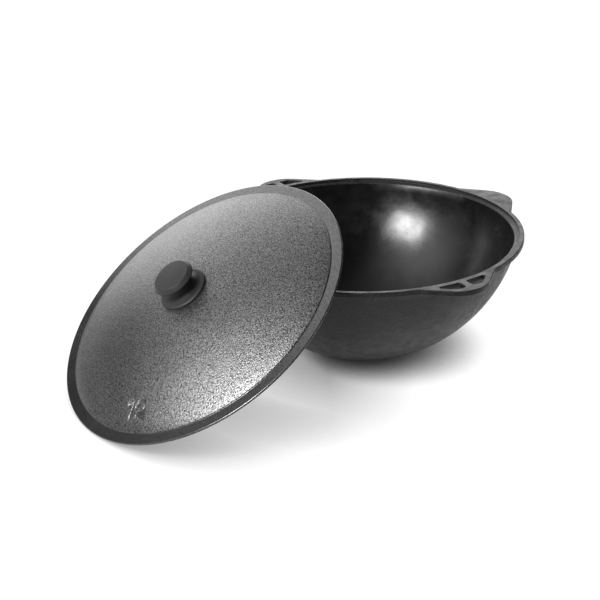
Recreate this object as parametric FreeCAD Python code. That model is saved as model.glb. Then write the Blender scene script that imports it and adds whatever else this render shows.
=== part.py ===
import FreeCAD, Part
import math
import os

# Kazan of about 12 litres: a round cast-iron bowl with four ears on its rim plate,
# and its cast lid with a moulded knob, taken off and leaning on one ear.
# Millimetres, +Z up. Origin: bowl axis on the floor, under the foot.

V = FreeCAD.Vector

# bowl, driving sizes
rim_diameter = 417.0
rim_height = 164.8          # floor to the top of the rim plate
rim_overhang = 3.5          # rim edge beyond the outside of the round wall
foot_diameter = 78.0        # flat the bowl stands on
wall = 5.0
flange = 6.6                # thickness of the rim plate and of the ears
seat_depth = 3.6            # ledge for the lid below the top of the rim plate
seat_inset = 6.1            # outer edge of the ledge inside the rim edge
seat_corner_round = 1.2     # hollow corner between the ledge and the rim
under_rim_round = 4.0       # hollow round between wall and rim plate
foot_round = 6.0
floor_round = 30.0          # inside, from the flat floor into the round wall
mouth_round = 2.4           # inner edge of the ledge
edge_round = 0.9            # all free edges of rim plate, ears and windows

# ears, driving sizes
window_ear_angle = -58.8    # the two ears with windows lie on this line
ear_reach = 29.0            # beyond the rim edge
ear_nose_radius = 43.0
ear_flank_angle = 48.0      # flank to the middle line of the ear
ear_root_round = 6.0
ear_bar = 7.6               # metal left outside the windows, at the flanks
ear_nose_bar = 12.6         # metal left outside the windows, at the nose
ear_rib = 10.0              # radial rib between the two windows
window_land = 1.8           # metal left between the rim edge and a window
window_round = 2.4

# lid, driving sizes
seat_clearance = 0.6        # radial, between lid edge and seat
lid_edge = 3.2              # thickness of the flat band
lid_wall = 4.2              # thickness of the dome
band_width = 14.0
pad_height = 35.2           # knob pad above the flat band
step_height = 0.9           # crown line above the flat band at the foot of the dome
pad_diameter = 68.0
step_round = 1.5            # upper edge of the small step from dome to band
step_foot_round = 0.6
under_dome_round = 12.0     # underneath, from the band into the hollow of the dome
lid_edge_round = 1.2

# knob and its fastening, driving sizes
knob_base_diameter = 63.2
knob_base_edge = 2.8
knob_height = 28.6
knob_waist = 34.0
knob_flare = 12.0
knob_flare_start = 4.2
under_cap_round = 4.6
cap_diameter = 54.6
cap_top_diameter = 46.6
cap_height = 6.4            # from the underside of the cap to its top
cap_lip = 1.4               # upright part of the cap edge
knob_edge_round = 0.6
screw_diameter = 8.0
screw_hole_clearance = 1.0  # on the diameter
insert_diameter = 13.0
insert_length = 15.0
screw_in_insert = 11.0
screw_head_diameter = 16.0
screw_head_height = 4.6
slot_width = 2.0
slot_depth = 2.0
head_round = 1.4
washer_diameter = 24.0
washer_thickness = 1.6

# how the lid leans
lean_contact = 37.912       # lid axis to the nose of the ear, square to the axis
lean_turn = 1.3             # lid axis round from the middle of the ear
lean_gap = 0.2              # left between the dome and the ear it leans on

# allowances for shapes that are cut away or run into another
overrun = 5.0
ear_overlap = 40.0          # an ear's blank reaches this far inside the rim

# sizes that follow
rim_radius = rim_diameter / 2.0
bowl_radius = rim_radius - rim_overhang   # outside of the round wall
plate_under = rim_height - flange
ball_z = math.sqrt(bowl_radius ** 2 - (foot_diameter / 2.0) ** 2)
inner_radius = bowl_radius - wall
seat_z = rim_height - seat_depth
seat_radius = rim_radius - seat_inset
ear_radius = rim_radius + ear_reach
lid_radius = seat_radius - seat_clearance
solid_ear_angle = window_ear_angle + 270.0
screw_hole = screw_diameter + screw_hole_clearance
dome_foot_x = lid_radius - band_width
crown_drop = pad_height - step_height
crown_depth = (dome_foot_x ** 2 - (pad_diameter / 2.0) ** 2 + crown_drop ** 2) / (2.0 * crown_drop)
crown_z = pad_height - crown_depth
crown_radius = math.hypot(pad_diameter / 2.0, crown_depth)


def pt(r, z):
    return V(r, 0, z)


def line(a, b):
    return Part.LineSegment(pt(*a), pt(*b)).toShape()


def arc(centre, a, b):
    """Arc in the r-z plane from a to b about a centre, the short way round."""
    ra = math.hypot(a[0] - centre[0], a[1] - centre[1])
    mx = (a[0] + b[0]) / 2.0 - centre[0]
    mz = (a[1] + b[1]) / 2.0 - centre[1]
    k = ra / math.hypot(mx, mz)
    mid = (centre[0] + mx * k, centre[1] + mz * k)
    return Part.Arc(pt(*a), pt(*mid), pt(*b)).toShape()


def turned(edges):
    """Solid of revolution about Z from a closed chain of edges."""
    face = Part.Face(Part.Wire(edges))
    return face.revolve(V(0, 0, 0), V(0, 0, 1), 360)


def along(a, b, length):
    """The point at a given length from a towards b."""
    k = length / math.hypot(b[0] - a[0], b[1] - a[1])
    return (a[0] + (b[0] - a[0]) * k, a[1] + (b[1] - a[1]) * k)


def ball_blend(ball, height, plane, blend, outside, above):
    """Round between a ball on the axis and a level plane: centre, point on ball, point on plane."""
    reach = ball + blend if outside else ball - blend
    cz = plane + blend if above else plane - blend
    cx = math.sqrt(reach ** 2 - (cz - height) ** 2)
    on_ball = (cx * ball / reach, height + (cz - height) * ball / reach)
    return (cx, cz), on_ball, (cx, plane)


def circles_meet(c1, r1, c2, r2):
    """The lower of the two points at r1 from c1 and r2 from c2."""
    dx = c2[0] - c1[0]
    dz = c2[1] - c1[1]
    d = math.hypot(dx, dz)
    a = (d * d + r1 * r1 - r2 * r2) / (2.0 * d)
    h = math.sqrt(r1 * r1 - a * a)
    first = (c1[0] + (a * dx - h * dz) / d, c1[1] + (a * dz + h * dx) / d)
    second = (c1[0] + (a * dx + h * dz) / d, c1[1] + (a * dz - h * dx) / d)
    return min(first, second, key=lambda p: p[0])


# The bowl body: round wall, flat foot, hollow round up to the rim plate.
def bowl_body():
    foot_c, foot_ball, foot_flat = ball_blend(bowl_radius, ball_z, 0.0, foot_round, False, True)
    rim_c, rim_ball, rim_flat = ball_blend(
        bowl_radius, ball_z, plate_under, under_rim_round, True, False)
    core_top = plate_under + flange / 2.0
    return turned([
        line((0, 0), foot_flat),
        arc(foot_c, foot_flat, foot_ball),
        arc((0, ball_z), foot_ball, rim_ball),
        arc(rim_c, rim_ball, rim_flat),
        line(rim_flat, (rim_flat[0], core_top)),
        line((rim_flat[0], core_top), (0, core_top)),
        line((0, core_top), (0, 0)),
    ])


# The hollow of the bowl: flat floor, round wall, ledge for the lid below the rim plate.
def bowl_hollow():
    floor_c, floor_ball, floor_flat = ball_blend(
        inner_radius, ball_z, wall, floor_round, False, True)
    mouth_c, mouth_ball, mouth_flat = ball_blend(
        inner_radius, ball_z, seat_z, mouth_round, True, False)
    corner_x = seat_radius - seat_corner_round
    corner_z = seat_z + seat_corner_round
    lip_x = seat_radius + edge_round
    lip_z = rim_height - edge_round
    top = rim_height + overrun
    return turned([
        line((0, wall), floor_flat),
        arc(floor_c, floor_flat, floor_ball),
        arc((0, ball_z), floor_ball, mouth_ball),
        arc(mouth_c, mouth_ball, mouth_flat),
        line(mouth_flat, (corner_x, seat_z)),
        arc((corner_x, corner_z), (corner_x, seat_z), (seat_radius, corner_z)),
        line((seat_radius, corner_z), (seat_radius, lip_z)),
        arc((lip_x, lip_z), (seat_radius, lip_z), (lip_x, rim_height)),
        line((lip_x, rim_height), (lip_x, top)),
        line((lip_x, top), (0, top)),
        line((0, top), (0, wall)),
    ])


def ear_plan():
    """Plan of one ear towards +X: nose arc and two straight flanks."""
    flank = math.radians(ear_flank_angle)
    tx = ear_radius - ear_nose_radius + ear_nose_radius * math.sin(flank)
    ty = ear_nose_radius * math.cos(flank)
    root = rim_radius - ear_overlap
    by = ty + (tx - root) * math.tan(flank)
    tip = Part.Arc(V(tx, -ty, 0), V(ear_radius, 0, 0), V(tx, ty, 0)).toShape()
    wire = Part.Wire([
        tip,
        Part.LineSegment(V(tx, ty, 0), V(root, by, 0)).toShape(),
        Part.LineSegment(V(root, by, 0), V(root, -by, 0)).toShape(),
        Part.LineSegment(V(root, -by, 0), V(tx, -ty, 0)).toShape(),
    ])
    return Part.Face(wire)


def upright_edges(shape, keep):
    out = []
    for e in shape.Edges:
        box = e.BoundBox
        if box.XLength < 1e-6 and box.YLength < 1e-6 and keep(e.Vertexes[0].Point):
            out.append(e)
    return out


# The rim plate with its four ears, two of them pierced by a pair of windows.
def rim_plate():
    plate = Part.makeCylinder(rim_radius, flange)
    for k in range(4):
        ear = ear_plan().extrude(V(0, 0, flange))
        ear.rotate(V(0, 0, 0), V(0, 0, 1), window_ear_angle + 90.0 * k)
        plate = plate.fuse(ear)
    plate = plate.removeSplitter()
    roots = upright_edges(plate, lambda p: abs(math.hypot(p.x, p.y) - rim_radius) < 0.01)
    plate = plate.makeFillet(ear_root_round, roots)
    for k in (0, 2):
        for window in ear_windows():
            window.rotate(V(0, 0, 0), V(0, 0, 1), window_ear_angle + 90.0 * k)
            plate = plate.cut(window)
    level = [e for e in plate.Edges if e.BoundBox.ZLength < 1e-6]
    plate = plate.makeFillet(edge_round, level)
    plate.translate(V(0, 0, plate_under))
    return plate


def ear_windows():
    """The two windows of the ear towards +X."""
    inner = rim_radius + window_land
    blank = ear_plan().makeOffset2D(-ear_bar).extrude(V(0, 0, flange))
    blank = blank.cut(Part.makeCylinder(inner, flange))
    rib = Part.makeBox(ear_reach + 2.0 * overrun, ear_rib, flange)
    rib.translate(V(inner - overrun, -ear_rib / 2.0, 0))
    blank = blank.cut(rib)
    nose = Part.makeBox(ear_nose_bar, 2.0 * ear_nose_radius, flange)
    nose.translate(V(ear_radius - ear_nose_bar, -ear_nose_radius, 0))
    blank = blank.cut(nose)
    out = []
    for piece in blank.Solids:
        corners = upright_edges(piece, lambda p: True)
        piece = piece.makeFillet(window_round, corners)
        out.append(piece)
    return out


def cast_bowl():
    body = bowl_body().fuse(rim_plate())
    body = body.cut(bowl_hollow())
    return body.removeSplitter()


# The lid: knob pad, crown, small step down to the flat band; plain hollow underneath.
def cast_lid():
    pad_r = pad_diameter / 2.0
    hole = screw_hole / 2.0
    foot_c = (dome_foot_x, step_foot_round)
    step_c = circles_meet(
        (0, crown_z), crown_radius - step_round, foot_c, step_round + step_foot_round)
    on_crown = along((0, crown_z), step_c, crown_radius)
    joint = along(step_c, foot_c, step_round)
    low_c, low_ball, low_flat = ball_blend(
        crown_radius - lid_wall, crown_z, -lid_edge, under_dome_round, True, True)
    low_pad = (pad_r, crown_z + math.sqrt((crown_radius - lid_wall) ** 2 - pad_r ** 2))
    lid = turned([
        line((hole, pad_height), (pad_r, pad_height)),
        arc((0, crown_z), (pad_r, pad_height), on_crown),
        arc(step_c, on_crown, joint),
        arc(foot_c, joint, (dome_foot_x, 0.0)),
        line((dome_foot_x, 0.0), (lid_radius, 0.0)),
        line((lid_radius, 0.0), (lid_radius, -lid_edge)),
        line((lid_radius, -lid_edge), low_flat),
        arc(low_c, low_flat, low_ball),
        arc((0, crown_z), low_ball, low_pad),
        line(low_pad, (hole, low_pad[1])),
        line((hole, low_pad[1]), (hole, pad_height)),
    ])
    edges = [e for e in lid.Edges
             if isinstance(e.Curve, Part.Circle) and abs(e.Curve.Radius - lid_radius) < 1e-4]
    return lid.makeFillet(lid_edge_round, edges), low_pad[1]


# The moulded knob: flared base, waist, flat-topped cap with a bevelled side.
def knob_shape():
    base = knob_base_diameter / 2.0
    waist = knob_waist / 2.0
    under = knob_height - cap_height
    flare_end = waist + knob_flare
    cap = cap_diameter / 2.0
    top = cap_top_diameter / 2.0
    flare_top = knob_flare_start + knob_flare
    throat = under - under_cap_round
    recess = insert_diameter / 2.0
    knob = turned([
        line((recess, 0), (base, 0)),
        line((base, 0), (base, knob_base_edge)),
        line((base, knob_base_edge), (flare_end, knob_flare_start)),
        arc((flare_end, flare_top), (flare_end, knob_flare_start), (waist, flare_top)),
        line((waist, flare_top), (waist, throat)),
        arc((waist + under_cap_round, throat), (waist, throat), (waist + under_cap_round, under)),
        line((waist + under_cap_round, under), (cap, under)),
        line((cap, under), (cap, under + cap_lip)),
        line((cap, under + cap_lip), (top, knob_height)),
        line((top, knob_height), (0, knob_height)),
        line((0, knob_height), (0, insert_length)),
        line((0, insert_length), (recess, insert_length)),
        line((recess, insert_length), (recess, 0)),
    ])
    sharp = []
    for e in knob.Edges:
        if not isinstance(e.Curve, Part.Circle):
            continue
        r = e.Curve.Radius
        z = e.Curve.Center.z
        if abs(r - cap) < 1e-4 or abs(r - top) < 1e-4:
            sharp.append(e)
        if abs(r - base) < 1e-4 and z > 0.1:
            sharp.append(e)
    return knob.makeFillet(knob_edge_round, sharp)


# Fastening of the knob, in the lid's own frame, the knob standing on its pad.
def fastening(low_pad_z):
    insert = Part.makeCylinder(insert_diameter / 2.0, insert_length)
    insert = insert.cut(Part.makeCylinder(screw_diameter / 2.0, screw_in_insert + 1.0))
    washer_top = low_pad_z - pad_height
    washer = Part.makeCylinder(washer_diameter / 2.0, washer_thickness)
    washer = washer.cut(Part.makeCylinder(screw_hole / 2.0, washer_thickness))
    washer.translate(V(0, 0, washer_top - washer_thickness))
    head_top = washer_top - washer_thickness
    head = Part.makeCylinder(screw_head_diameter / 2.0, screw_head_height)
    rim = [e for e in head.Edges if isinstance(e.Curve, Part.Circle) and e.Curve.Center.z < 0.01]
    head = head.makeFillet(head_round, rim)
    slot = Part.makeBox(screw_head_diameter + 2.0 * overrun, slot_width, slot_depth)
    slot.translate(V(-screw_head_diameter / 2.0 - overrun, -slot_width / 2.0, 0))
    head = head.cut(slot)
    head.translate(V(0, 0, head_top - screw_head_height))
    shank = Part.makeCylinder(screw_diameter / 2.0, screw_in_insert - head_top)
    shank.translate(V(0, 0, head_top))
    screw = head.fuse(shank).removeSplitter()
    return insert, washer, screw


# Where the lid stands: its edge on the floor, its dome against the nose of the ear.
def lean_placement():
    nose_d = ear_radius - edge_round
    nose_z = rim_height - edge_round
    reach = crown_radius - lid_wall - edge_round - lean_gap
    # the lid tips until its edge is on the floor and its hollow on the nose
    along = lid_radius - lid_edge_round + lean_contact
    across = (lid_edge - lid_edge_round + crown_z
              + math.sqrt(reach ** 2 - lean_contact ** 2))
    t = (math.asin((nose_z - lid_edge_round) / math.hypot(along, across))
         - math.atan2(across, along))
    height = ((lid_radius - lid_edge_round) * math.sin(t)
              + (lid_edge - lid_edge_round) * math.cos(t) + lid_edge_round)
    centre_z = height + crown_z * math.cos(t)
    centre_d = nose_d - math.sqrt(reach ** 2 - (nose_z - centre_z) ** 2)
    out = centre_d - crown_z * math.sin(t)
    lean = FreeCAD.Placement(V(out, 0, height), FreeCAD.Rotation(V(0, 1, 0), math.degrees(t)))
    swing = FreeCAD.Placement(
        V(0, 0, 0), FreeCAD.Rotation(V(0, 0, 1), solid_ear_angle + lean_turn))
    return swing.multiply(lean)


def write(name, shape):
    solids = shape.Solids
    assert len(solids) == 1, name
    solids[0].exportStep("parts/" + name + ".step")
    print(name, "volume %.1f cm3" % (solids[0].Volume / 1000.0))


os.makedirs("parts", exist_ok=True)
place = lean_placement()
lid, low_pad_z = cast_lid()
knob = knob_shape()
insert, washer, screw = fastening(low_pad_z)
for piece in (knob, insert, washer, screw):
    piece.translate(V(0, 0, pad_height))
for piece in (lid, knob, insert, washer, screw):
    piece.Placement = place.multiply(piece.Placement)

write("bowl", cast_bowl())
write("lid", lid)
write("knob", knob)
write("knob_insert", insert)
write("knob_washer", washer)
write("knob_screw", screw)
print("lid centre", place.Base)
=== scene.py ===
import math

import bmesh
import bpy
from mathutils import Matrix, Vector


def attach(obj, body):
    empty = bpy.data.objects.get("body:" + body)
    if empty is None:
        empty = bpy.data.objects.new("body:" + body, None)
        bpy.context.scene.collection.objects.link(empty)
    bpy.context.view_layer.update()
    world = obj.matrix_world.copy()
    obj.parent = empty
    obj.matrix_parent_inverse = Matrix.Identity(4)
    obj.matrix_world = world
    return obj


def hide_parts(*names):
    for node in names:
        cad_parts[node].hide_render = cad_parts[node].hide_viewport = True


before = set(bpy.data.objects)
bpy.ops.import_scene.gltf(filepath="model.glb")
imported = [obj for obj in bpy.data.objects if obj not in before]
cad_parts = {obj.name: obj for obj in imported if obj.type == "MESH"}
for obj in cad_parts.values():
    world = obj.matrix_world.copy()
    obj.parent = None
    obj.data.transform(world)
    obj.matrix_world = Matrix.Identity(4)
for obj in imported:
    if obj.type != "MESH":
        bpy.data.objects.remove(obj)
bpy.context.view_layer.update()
scene = bpy.context.scene
scene.view_settings.view_transform = "Standard"


# Camera. It stands in front of the kazan, a little left of its middle, and looks down 24
# degrees. Its place, tilt and lens were fitted to the rim, the round wall and the lid in the
# photograph.
camera_place = Vector((-0.08634, -1.71802, 0.83316))
camera_pitch = 0.4205571
camera_roll = -0.0210428
camera_data = bpy.data.cameras.new("camera")
camera_data.sensor_width = 36.0
camera_data.lens = 84.0
camera = bpy.data.objects.new("camera", camera_data)
scene.collection.objects.link(camera)
scene.camera = camera
level = Vector((1, 0, 0))
raised = Vector((0, math.sin(camera_pitch), math.cos(camera_pitch)))
ahead = Vector((0, math.cos(camera_pitch), -math.sin(camera_pitch)))
across = level * math.cos(camera_roll) + raised * math.sin(camera_roll)
upward = raised * math.cos(camera_roll) - level * math.sin(camera_roll)
turn = Matrix((across, upward, -ahead)).transposed().to_4x4()
camera.matrix_world = Matrix.Translation(camera_place) @ turn


# Floor. White seamless paper, laid flat under the kazan and far past it. It shows white to the
# camera and in the gloss of the iron as a glow. The soft shadows of the bowl and the lid on it are
# painted shadow, the glow dimmed by occlusion and by X on the floor; the lamps' own shadows show
# only faintly.
def add(tree, kind, inputs=None, **settings):
    """Adds a node with its settings; an input is a value or the socket that feeds it."""
    made = tree.nodes.new(kind)
    for name, value in settings.items():
        setattr(made, name, value)
    for name, value in (inputs or {}).items():
        if isinstance(value, bpy.types.NodeSocket):
            tree.links.new(value, made.inputs[name])
        else:
            made.inputs[name].default_value = value
    return made


floor_half = 9.0
mirror_near = (-0.64, 0.04)     # Y on the floor, and how much of its white the iron mirrors there
mirror_far = (-0.32, 1.0)
tone_seen = 0.10                # how much lamp light the paper gives back to the camera and in gloss
tone_unseen = 0.85              # and to everything else
from_left = (-0.73, 0.12, 0.67)         # where the painted shadow looks for cover: the left, where most of the light comes from
contact_reach = 0.060           # the firm painted shadow close to the foot and under the lid's edge
contact_dark = (0.06, 0.02)     # how open a spot is, and how white the paper is there
contact_ends = ((-0.10, 0.22), (0.13, 1.0))     # X on the floor, and how open a fully white spot is
under_reach = 0.16              # the wide, soft painted shadow below the round wall
under_open = (0.30, 0.95)       # how open a spot is where it is darkest, and where it is white
under_least = ((-0.05, 0.36), (0.06, 1.0))      # X on the floor, and how white the darkest spot is
shadow_samples = 16

# Matt uncoated paper: an even white without an edge or a gleam, greyed by painted shadows and,
# faintly, by the lamps' own shadows.
paper = bpy.data.materials.new("white_paper")
paper.use_nodes = True
tree = paper.node_tree
tree.nodes.clear()
seen = add(tree, "ShaderNodeLightPath")
place = add(tree, "ShaderNodeNewGeometry").outputs["Position"]
spot = add(tree, "ShaderNodeSeparateXYZ", {0: place})
gloss = add(tree, "ShaderNodeMapRange", {
    "Value": spot.outputs["Y"], "From Min": mirror_near[0], "From Max": mirror_far[0],
    "To Min": mirror_near[1], "To Max": mirror_far[1]}, interpolation_type="SMOOTHSTEP")
mirrored = add(tree, "ShaderNodeMath", {
    0: seen.outputs["Is Glossy Ray"], 1: gloss.outputs[0]}, operation="MULTIPLY")
shown = add(tree, "ShaderNodeMath", {
    0: seen.outputs["Is Camera Ray"], 1: mirrored.outputs[0]}, operation="MAXIMUM")
sharp = add(tree, "ShaderNodeMath", {
    0: seen.outputs["Is Camera Ray"], 1: seen.outputs["Is Glossy Ray"]}, operation="MAXIMUM")
# Painted shadow: the white glow is dimmed where occlusion finds the bowl or the lid close by. It
# reaches further to the right of the foot, and the wide part lies only on the lid's side.
contact = add(tree, "ShaderNodeAmbientOcclusion", {
    "Distance": contact_reach, "Normal": from_left}, samples=shadow_samples)
reach = add(tree, "ShaderNodeMapRange", {
    "Value": spot.outputs["X"],
    "From Min": contact_ends[0][0], "From Max": contact_ends[1][0],
    "To Min": contact_ends[0][1], "To Max": contact_ends[1][1]})
contact = add(tree, "ShaderNodeMapRange", {
    "Value": contact.outputs["AO"], "From Min": contact_dark[0], "From Max": reach.outputs[0],
    "To Min": contact_dark[1], "To Max": 1.0}, interpolation_type="SMOOTHSTEP")
under = add(tree, "ShaderNodeAmbientOcclusion", {"Distance": under_reach}, samples=shadow_samples)
beside = add(tree, "ShaderNodeMapRange", {
    "Value": spot.outputs["X"],
    "From Min": under_least[0][0], "From Max": under_least[1][0],
    "To Min": under_least[0][1], "To Max": under_least[1][1]})
under = add(tree, "ShaderNodeMapRange", {
    "Value": under.outputs["AO"], "From Min": under_open[0], "From Max": under_open[1],
    "To Min": beside.outputs[0], "To Max": 1.0})
painted_shadow = add(tree, "ShaderNodeMath", {
    0: contact.outputs[0], 1: under.outputs[0]}, operation="MULTIPLY")
strength = add(tree, "ShaderNodeMath", {
    0: painted_shadow.outputs[0], 1: shown.outputs[0]}, operation="MULTIPLY")
tone = add(tree, "ShaderNodeMix", {
    "Factor": sharp.outputs[0], "A": tone_unseen, "B": tone_seen}, data_type="FLOAT")
lit = add(tree, "ShaderNodeBsdfDiffuse", {"Color": tone.outputs[0]})
glow = add(tree, "ShaderNodeEmission", {
    "Color": (1.0, 1.0, 1.0, 1.0), "Strength": strength.outputs[0]})
both = add(tree, "ShaderNodeAddShader", {0: lit.outputs[0], 1: glow.outputs[0]})
add(tree, "ShaderNodeOutputMaterial", {"Surface": both.outputs[0]})

sheet = bmesh.new()
bmesh.ops.create_grid(sheet, x_segments=1, y_segments=1, size=floor_half)
floor_mesh = bpy.data.meshes.new("floor")
sheet.to_mesh(floor_mesh)
sheet.free()
floor_mesh.materials.append(paper)
floor = bpy.data.objects.new("floor", floor_mesh)
scene.collection.objects.link(floor)


# Light. A soft lamp at the front left gives the bright patch inside the bowl. A pale ceiling
# corner at the left lights the dome. The room is bright behind the kazan, up to a slanted edge
# on its left and a soft one on its right, and dim elsewhere.
room_dim = 0.06
room_bright = 3.05
wall_low = (0.30, 1.0)          # rise of a line of sight, and how bright the room is there
wall_high = (0.92, 0.1)
slanted_edge = (0.790, 0.494, 0.368)    # square to the plane of the edge, towards the bright side
slanted_blur = 0.05
right_edge = math.radians(158.0)        # likewise, level, as a turn from X
right_blur = 0.11
corner = (-0.682, -0.158, 0.731)        # from the kazan to its middle
corner_reach = math.radians(46.0)
corner_bright = 1.9
world = bpy.data.worlds.new("studio")
scene.world = world
world.use_nodes = True
tree = world.node_tree
tree.nodes.clear()
way = add(tree, "ShaderNodeTexCoord").outputs["Generated"]
part = add(tree, "ShaderNodeSeparateXYZ", {0: way})
wall = add(tree, "ShaderNodeMapRange", {
    "Value": part.outputs["Z"], "From Min": wall_low[0], "From Max": wall_high[0],
    "To Min": wall_low[1], "To Max": wall_high[1]}, interpolation_type="SMOOTHSTEP").outputs[0]
for normal, blur in (
        (slanted_edge, slanted_blur),
        ((math.cos(right_edge), math.sin(right_edge), 0.0), right_blur)):
    beside = add(tree, "ShaderNodeVectorMath", {0: way, 1: normal}, operation="DOT_PRODUCT")
    edge = add(tree, "ShaderNodeMapRange", {
        "Value": beside.outputs["Value"], "From Min": -blur, "From Max": blur},
        interpolation_type="SMOOTHSTEP")
    wall = add(tree, "ShaderNodeMath", {
        0: wall, 1: edge.outputs[0]}, operation="MULTIPLY").outputs[0]
bright = add(tree, "ShaderNodeMapRange", {
    "Value": wall, "To Min": room_dim, "To Max": room_bright})
beside = add(tree, "ShaderNodeVectorMath", {0: way, 1: corner}, operation="DOT_PRODUCT")
apart = add(tree, "ShaderNodeMath", {0: beside.outputs["Value"]}, operation="ARCCOSINE")
pale = add(tree, "ShaderNodeMapRange", {
    "Value": apart.outputs[0], "From Min": corner_reach, "From Max": 0.0,
    "To Max": corner_bright}, interpolation_type="SMOOTHSTEP")
bright = add(tree, "ShaderNodeMath", {0: bright.outputs[0], 1: pale.outputs[0]})
seen = add(tree, "ShaderNodeLightPath")
sky = add(tree, "ShaderNodeMix", {
    "Factor": seen.outputs["Is Camera Ray"], "A": bright.outputs[0], "B": 1.0},
    data_type="FLOAT")
back = add(tree, "ShaderNodeBackground", {"Color": (1, 1, 1, 1), "Strength": sky.outputs[0]})
add(tree, "ShaderNodeOutputWorld", {"Surface": back.outputs[0]})

lamp_aim = Vector((0.0, 0.0, 0.15))
lamp_turn = math.radians(-137.0)
lamp_height = math.radians(35.0)
lamp_distance = 1.75
lamp_data = bpy.data.lights.new("key", "AREA")
lamp_data.shape = "RECTANGLE"
lamp_data.size = 0.80
lamp_data.size_y = 0.50
lamp_data.energy = 40.0
lamp = bpy.data.objects.new("key", lamp_data)
scene.collection.objects.link(lamp)
away = Vector((math.cos(lamp_turn) * math.cos(lamp_height),
               math.sin(lamp_turn) * math.cos(lamp_height), math.sin(lamp_height)))
lamp.location = lamp_aim + away * lamp_distance
lamp.rotation_mode = "QUATERNION"
lamp.rotation_quaternion = away.to_track_quat("Z", "Y")


# Bowl. One grey-iron casting: round wall, foot, rim plate with the ledge for the lid, and four
# ears. It is cast in sand, blasted and baked with oil, so it is satin black all over and
# glossier inside.
crease = math.radians(28.0)     # a sharper turn between two faces stays a crisp arris
merge_within = 2e-6
noise_low = 0.3                 # most values of a noise pattern lie between these two
noise_high = 0.7


def surface_of(node):
    """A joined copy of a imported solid's skin, with smooth curves and crisp arrises."""
    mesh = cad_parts[node].data.copy()
    skin = bmesh.new()
    skin.from_mesh(mesh)
    bmesh.ops.remove_doubles(skin, verts=skin.verts, dist=merge_within)
    bmesh.ops.recalc_face_normals(skin, faces=skin.faces)
    skin.to_mesh(mesh)
    skin.free()
    mesh.materials.clear()
    mesh.polygons.foreach_set("use_smooth", [True] * len(mesh.polygons))
    mesh.set_sharp_from_angle(angle=crease)
    return mesh


def iron(name, colour, metallic, rough, rough_spread, grain_mm, grain_depth_mm, speckle,
         mottle, cloud_mm, gloss=0.5, pool_below=None):
    """Sand-cast iron: its grain stands up and holds oil, and the oil lies in soft clouds.

    Moulding sand is a few tenths of a millimetre wide. The grain is drawn 1.6 to 3 mm wide,
    as coarse as it needs to show.
    """
    made = bpy.data.materials.new(name)
    made.use_nodes = True
    tree = made.node_tree
    tree.nodes.clear()
    place = add(tree, "ShaderNodeTexCoord").outputs["Object"]
    cloud = add(tree, "ShaderNodeTexNoise", {
        "Vector": place, "Scale": 1000.0 / cloud_mm, "Detail": 5.0, "Roughness": 0.65})
    grain = add(tree, "ShaderNodeTexNoise", {
        "Vector": place, "Scale": 1000.0 / grain_mm, "Detail": 2.0, "Roughness": 0.55})
    tone = add(tree, "ShaderNodeMapRange", {
        "Value": cloud.outputs["Fac"], "From Min": noise_low, "From Max": noise_high,
        "To Min": 1.0 - mottle, "To Max": 1.0 + mottle})
    crests = add(tree, "ShaderNodeMapRange", {
        "Value": grain.outputs["Fac"], "From Min": noise_low, "From Max": noise_high,
        "To Min": 1.0 - speckle, "To Max": 1.0 + speckle})
    tone = add(tree, "ShaderNodeMath", {
        0: tone.outputs[0], 1: crests.outputs[0]}, operation="MULTIPLY")
    base = add(tree, "ShaderNodeMix", {
        "Factor": 1.0, "A": linear(colour), "B": tone.outputs[0]},
        data_type="RGBA", blend_type="MULTIPLY")
    polish = add(tree, "ShaderNodeMapRange", {
        "Value": cloud.outputs["Fac"], "From Min": noise_low, "From Max": noise_high,
        "To Min": rough - rough_spread, "To Max": rough + rough_spread})
    if pool_below:
        # Oil has pooled below this height and dried duller, with an uneven upper edge.
        pool_blur = 0.05
        pool_waves = 0.10
        pool_rough = 0.24
        height = add(tree, "ShaderNodeSeparateXYZ", {0: place})
        uneven = add(tree, "ShaderNodeMath", {
            0: cloud.outputs["Fac"], 1: pool_waves, 2: height.outputs["Z"]},
            operation="MULTIPLY_ADD")
        pool = add(tree, "ShaderNodeMapRange", {
            "Value": uneven.outputs[0], "From Min": pool_below + pool_blur,
            "From Max": pool_below, "To Max": pool_rough}, interpolation_type="SMOOTHSTEP")
        polish = add(tree, "ShaderNodeMath", {0: polish.outputs[0], 1: pool.outputs[0]})
    relief = add(tree, "ShaderNodeBump", {
        "Height": grain.outputs["Fac"], "Strength": 1.0, "Distance": grain_depth_mm / 1000.0})
    shader = add(tree, "ShaderNodeBsdfPrincipled", {
        "Base Color": base.outputs["Result"], "Metallic": metallic,
        "Roughness": polish.outputs[0], "Specular IOR Level": gloss,
        "Normal": relief.outputs[0]})
    add(tree, "ShaderNodeOutputMaterial", {"Surface": shader.outputs[0]})
    return made


def linear(code, alpha=1.0):
    """An sRGB hex colour as the linear values that a shader takes."""
    out = []
    for k in (1, 3, 5):
        c = int(code[k:k + 2], 16) / 255.0
        out.append(c / 12.92 if c <= 0.04045 else ((c + 0.055) / 1.055) ** 2.4)
    return (*out, alpha)


bowl_mesh = surface_of("bowl")
# Sand-cast iron, oiled and baked: a satin black, rough with grain and a little cloudy.
outside = iron(
    "sand_cast_iron_outside", "#171717", metallic=0.0, rough=0.46, rough_spread=0.12,
    grain_mm=2.2, grain_depth_mm=0.5, speckle=0.8, mottle=0.55, cloud_mm=14.0, gloss=0.34)
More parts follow.
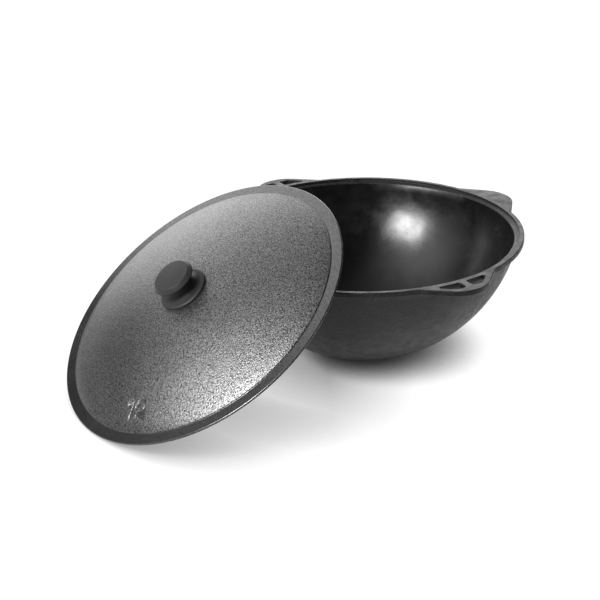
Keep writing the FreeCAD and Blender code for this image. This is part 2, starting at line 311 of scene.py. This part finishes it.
# The same iron with a finer skin and more oil: a deep black that mirrors lamp and room softly.
inside = iron(
    "oil_baked_iron_inside", "#0e0e0e", metallic=0.0, rough=0.235, rough_spread=0.06,
    grain_mm=3.0, grain_depth_mm=0.04, speckle=0.2, mottle=0.5, cloud_mm=22.0,
    pool_below=0.075)
bowl_mesh.materials.append(outside)
bowl_mesh.materials.append(inside)
ball_centre = Vector((0, 0, 0.201256))
inner_radius = 0.200
inner_margin = 0.0008           # past the inner face of the wall, well short of the outer one
mouth_low = 0.1590              # the glossier skin ends below the rounded mouth
for face in bowl_mesh.polygons:
    c = face.center
    if (c - ball_centre).length < inner_radius + inner_margin and c.z < mouth_low:
        face.material_index = 1
bowl = bpy.data.objects.new("bowl_casting", bowl_mesh)
scene.collection.objects.link(bowl)
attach(bowl, "root")
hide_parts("bowl")


# Number on the lid. The 12 that states its litres is cast into it as shallow grooves with
# slanted flanks, 0.8 mm deep. They are drawn on a plan of the lid and follow the crown of the
# dome.
def number_tree(finish):
    """Bars along drawn strokes, laid on a sphere whose crown is on the local Z axis."""
    tree = bpy.data.node_groups.new("number_strokes", "GeometryNodeTree")
    face = tree.interface
    face.new_socket("Geometry", in_out="INPUT", socket_type="NodeSocketGeometry")
    for label in ("Stroke Floor", "Stroke Brim", "Stroke Height",
                  "Crown Radius", "Crown Centre", "Fillet"):
        face.new_socket(label, in_out="INPUT", socket_type="NodeSocketFloat")
    face.new_socket("Geometry", in_out="OUTPUT", socket_type="NodeSocketGeometry")
    given = add(tree, "NodeGroupInput").outputs
    path = add(tree, "GeometryNodeMeshToCurve", {"Mesh": given["Geometry"]})
    path = add(tree, "GeometryNodeFilletCurve", {
        "Curve": path.outputs[0], "Count": 4, "Radius": given["Fillet"],
        "Limit Radius": True}, mode="POLY")
    path = add(tree, "GeometryNodeSetCurveNormal", {"Curve": path.outputs[0]}, mode="Z_UP")
    # The profile hangs upside down on the path, so its bottom is the wide brim.
    bar = add(tree, "GeometryNodeCurvePrimitiveQuadrilateral", {
        "Height": given["Stroke Height"], "Bottom Width": given["Stroke Brim"],
        "Top Width": given["Stroke Floor"], "Offset": 0.0}, mode="TRAPEZOID")
    bars = add(tree, "GeometryNodeCurveToMesh", {
        "Curve": path.outputs[0], "Profile Curve": bar.outputs[0], "Fill Caps": True})
    # Each point rises by the height of the sphere above the plan.
    spot = add(tree, "ShaderNodeSeparateXYZ", {
        0: add(tree, "GeometryNodeInputPosition").outputs[0]})
    plan = add(tree, "ShaderNodeCombineXYZ", {"X": spot.outputs["X"], "Y": spot.outputs["Y"]})
    out_sq = add(tree, "ShaderNodeVectorMath", {
        0: plan.outputs[0], 1: plan.outputs[0]}, operation="DOT_PRODUCT")
    crown_sq = add(tree, "ShaderNodeMath", {
        0: given["Crown Radius"], 1: 2.0}, operation="POWER")
    rise_sq = add(tree, "ShaderNodeMath", {
        0: crown_sq.outputs[0], 1: out_sq.outputs["Value"]}, operation="SUBTRACT")
    rise = add(tree, "ShaderNodeMath", {0: rise_sq.outputs[0]}, operation="SQRT")
    lifted = add(tree, "ShaderNodeMath", {0: rise.outputs[0], 1: given["Crown Centre"]})
    lift = add(tree, "ShaderNodeCombineXYZ", {"Z": lifted.outputs[0]})
    laid = add(tree, "GeometryNodeSetPosition", {
        "Geometry": bars.outputs[0], "Offset": lift.outputs[0]})
    real = add(tree, "GeometryNodeRealizeInstances", {"Geometry": laid.outputs[0]})
    done = add(tree, "GeometryNodeSetMaterial", {
        "Geometry": real.outputs[0], "Material": finish})
    add(tree, "NodeGroupOutput", {"Geometry": done.outputs[0]})
    return tree


def grown(name, mesh, tree, sizes):
    """The plain mesh that a tree makes of a mesh, with the tree's inputs set by name."""
    holder = bpy.data.objects.new(name + "_holder", mesh)
    scene.collection.objects.link(holder)
    modifier = holder.modifiers.new(name, "NODES")
    modifier.node_group = tree
    for item in tree.interface.items_tree:
        if item.in_out == "INPUT" and item.name in sizes:
            modifier[item.identifier] = sizes[item.name]
    view = bpy.context.evaluated_depsgraph_get()
    made = bpy.data.meshes.new_from_object(holder.evaluated_get(view), depsgraph=view)
    bpy.data.objects.remove(holder)
    return made


# Sand-cast iron, blasted and oiled: a grey sheen broken up by its grain.
lid_iron = iron(
    "sand_cast_iron_lid", "#5b5b5b", metallic=0.95, rough=0.36, rough_spread=0.03,
    grain_mm=1.6, grain_depth_mm=0.50, speckle=1.0, mottle=0.05, cloud_mm=80.0)
# Where the lid lies, as the solid has it: its middle, its turn and how far it leans.
lid_pose = (Matrix.Translation((-0.2114140, -0.1346855, 0.1178977))
            @ Matrix.Rotation(math.radians(212.5), 4, "Z")
            @ Matrix.Rotation(math.radians(35.0), 4, "Y"))
# Millimetres on the plan, to the right and up as the number is read.
drawn = (
    ((55.6, -141.2), (62.6, -159.6)),
    ((49.0, -151.0), (55.8, -141.8)),
    ((62.6, -141.2), (63.8, -138.0), (66.6, -135.4), (70.4, -134.4), (74.2, -135.6),
     (76.6, -138.6), (76.4, -142.0), (74.2, -145.4), (69.6, -151.8)),
    ((69.6, -151.8), (82.4, -149.6)),
)
strokes = bmesh.new()
for stroke in drawn:
    corners = [strokes.verts.new((-v / 1000.0, u / 1000.0, 0.0)) for u, v in stroke]
    for a, b in zip(corners, corners[1:]):
        strokes.edges.new((a, b))
plan_mesh = bpy.data.meshes.new("number_strokes")
strokes.to_mesh(plan_mesh)
strokes.free()
# The bars lie half in the iron, so a groove is half as deep as they are high.
number_mesh = grown("number", plan_mesh, number_tree(lid_iron), {
    "Stroke Floor": 0.0006, "Stroke Brim": 0.0032, "Stroke Height": 0.0016,
    "Crown Radius": 0.515544, "Crown Centre": -0.479222, "Fillet": 0.0008})
skin = bmesh.new()
skin.from_mesh(number_mesh)
bmesh.ops.recalc_face_normals(skin, faces=skin.faces)
skin.to_mesh(number_mesh)
skin.free()
number_mesh.transform(lid_pose)
number = bpy.data.objects.new("number_cutter", number_mesh)
scene.collection.objects.link(number)


# Lid. Cast in sand as one dished plate, a shallow dome with a flat band round it, left with its
# grain and oiled. It stands on its edge and leans on the nose of an ear.
blank = bpy.data.objects.new("lid_blank", surface_of("lid"))
scene.collection.objects.link(blank)
cut = blank.modifiers.new("number", "BOOLEAN")
cut.operation = "DIFFERENCE"
cut.solver = "EXACT"
cut.use_self = True
cut.object = number
view = bpy.context.evaluated_depsgraph_get()
lid_mesh = bpy.data.meshes.new_from_object(blank.evaluated_get(view), depsgraph=view)
bpy.data.objects.remove(blank)
bpy.data.objects.remove(number)
lid_mesh.materials.clear()
lid_mesh.polygons.foreach_set("use_smooth", [True] * len(lid_mesh.polygons))
lid_mesh.set_sharp_from_angle(angle=crease)
lid_mesh.materials.append(lid_iron)
# The same iron with a finer skin on the flat band: one long soft gleam instead of grain.
band_iron = iron(
    "sand_cast_iron_lid_band", "#5b5b5b", metallic=0.95, rough=0.21, rough_spread=0.03,
    grain_mm=2.4, grain_depth_mm=0.08, speckle=0.30, mottle=0.05, cloud_mm=80.0)
lid_mesh.materials.append(band_iron)
band_inner = 0.1870
band_low = -0.001               # its top is at 0 in the lid's own frame
band_high = 0.0001
lid_home = lid_pose.inverted()
for face in lid_mesh.polygons:
    c = lid_home @ face.center
    on_band = band_low < c.z < band_high and math.hypot(c.x, c.y) > band_inner
    face.material_index = int(on_band)
lid = bpy.data.objects.new("lid_casting", lid_mesh)
scene.collection.objects.link(lid)
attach(lid, "root")
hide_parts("lid")


# Knob. Black phenolic, moulded in one piece round a brass insert: a flared base, a waist and a
# bevelled cap. The mould leaves it a satin skin.
def plain(name, colour, metallic, rough, grain_mm, grain_depth_mm, gloss=0.5):
    """A moulded, turned or plated surface, even but for a fine skin."""
    rough_spread = 0.06
    made = bpy.data.materials.new(name)
    made.use_nodes = True
    tree = made.node_tree
    tree.nodes.clear()
    place = add(tree, "ShaderNodeTexCoord").outputs["Object"]
    grain = add(tree, "ShaderNodeTexNoise", {
        "Vector": place, "Scale": 1000.0 / grain_mm, "Detail": 3.0})
    polish = add(tree, "ShaderNodeMapRange", {
        "Value": grain.outputs["Fac"], "To Min": rough - rough_spread,
        "To Max": rough + rough_spread})
    relief = add(tree, "ShaderNodeBump", {
        "Height": grain.outputs["Fac"], "Strength": 1.0, "Distance": grain_depth_mm / 1000.0})
    shader = add(tree, "ShaderNodeBsdfPrincipled", {
        "Base Color": linear(colour), "Metallic": metallic, "Roughness": polish.outputs[0],
        "Specular IOR Level": gloss, "Normal": relief.outputs[0]})
    add(tree, "ShaderNodeOutputMaterial", {"Surface": shader.outputs[0]})
    return made


knob_mesh = surface_of("knob")
# Moulded phenolic: a soft black that lights up only along its edges.
phenolic = plain(
    "moulded_phenolic", "#2b2b2b", metallic=0.0, rough=0.46, grain_mm=0.8,
    grain_depth_mm=0.02, gloss=0.14)
knob_mesh.materials.append(phenolic)
knob = bpy.data.objects.new("knob_moulding", knob_mesh)
scene.collection.objects.link(knob)
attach(knob, "root")
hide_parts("knob")


# Fastening of the knob. A turned brass insert is moulded into the knob, and under the lid a
# zinc-plated washer and a slotted screw hold it. They keep the solids' own shapes.
# Turned brass: a warm yellow with a dull shine.
brass = plain("turned_brass", "#c9a254", metallic=1.0, rough=0.32, grain_mm=0.6,
              grain_depth_mm=0.02)
# Zinc-plated steel: a cool grey with a dull shine.
zinc = plain("zinc_plated_steel", "#b9bbbd", metallic=1.0, rough=0.34, grain_mm=0.6,
             grain_depth_mm=0.02)
for node, finish in (("knob_insert", brass), ("knob_washer", zinc), ("knob_screw", zinc)):
    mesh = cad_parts[node].data
    mesh.materials.clear()
    mesh.materials.append(finish)
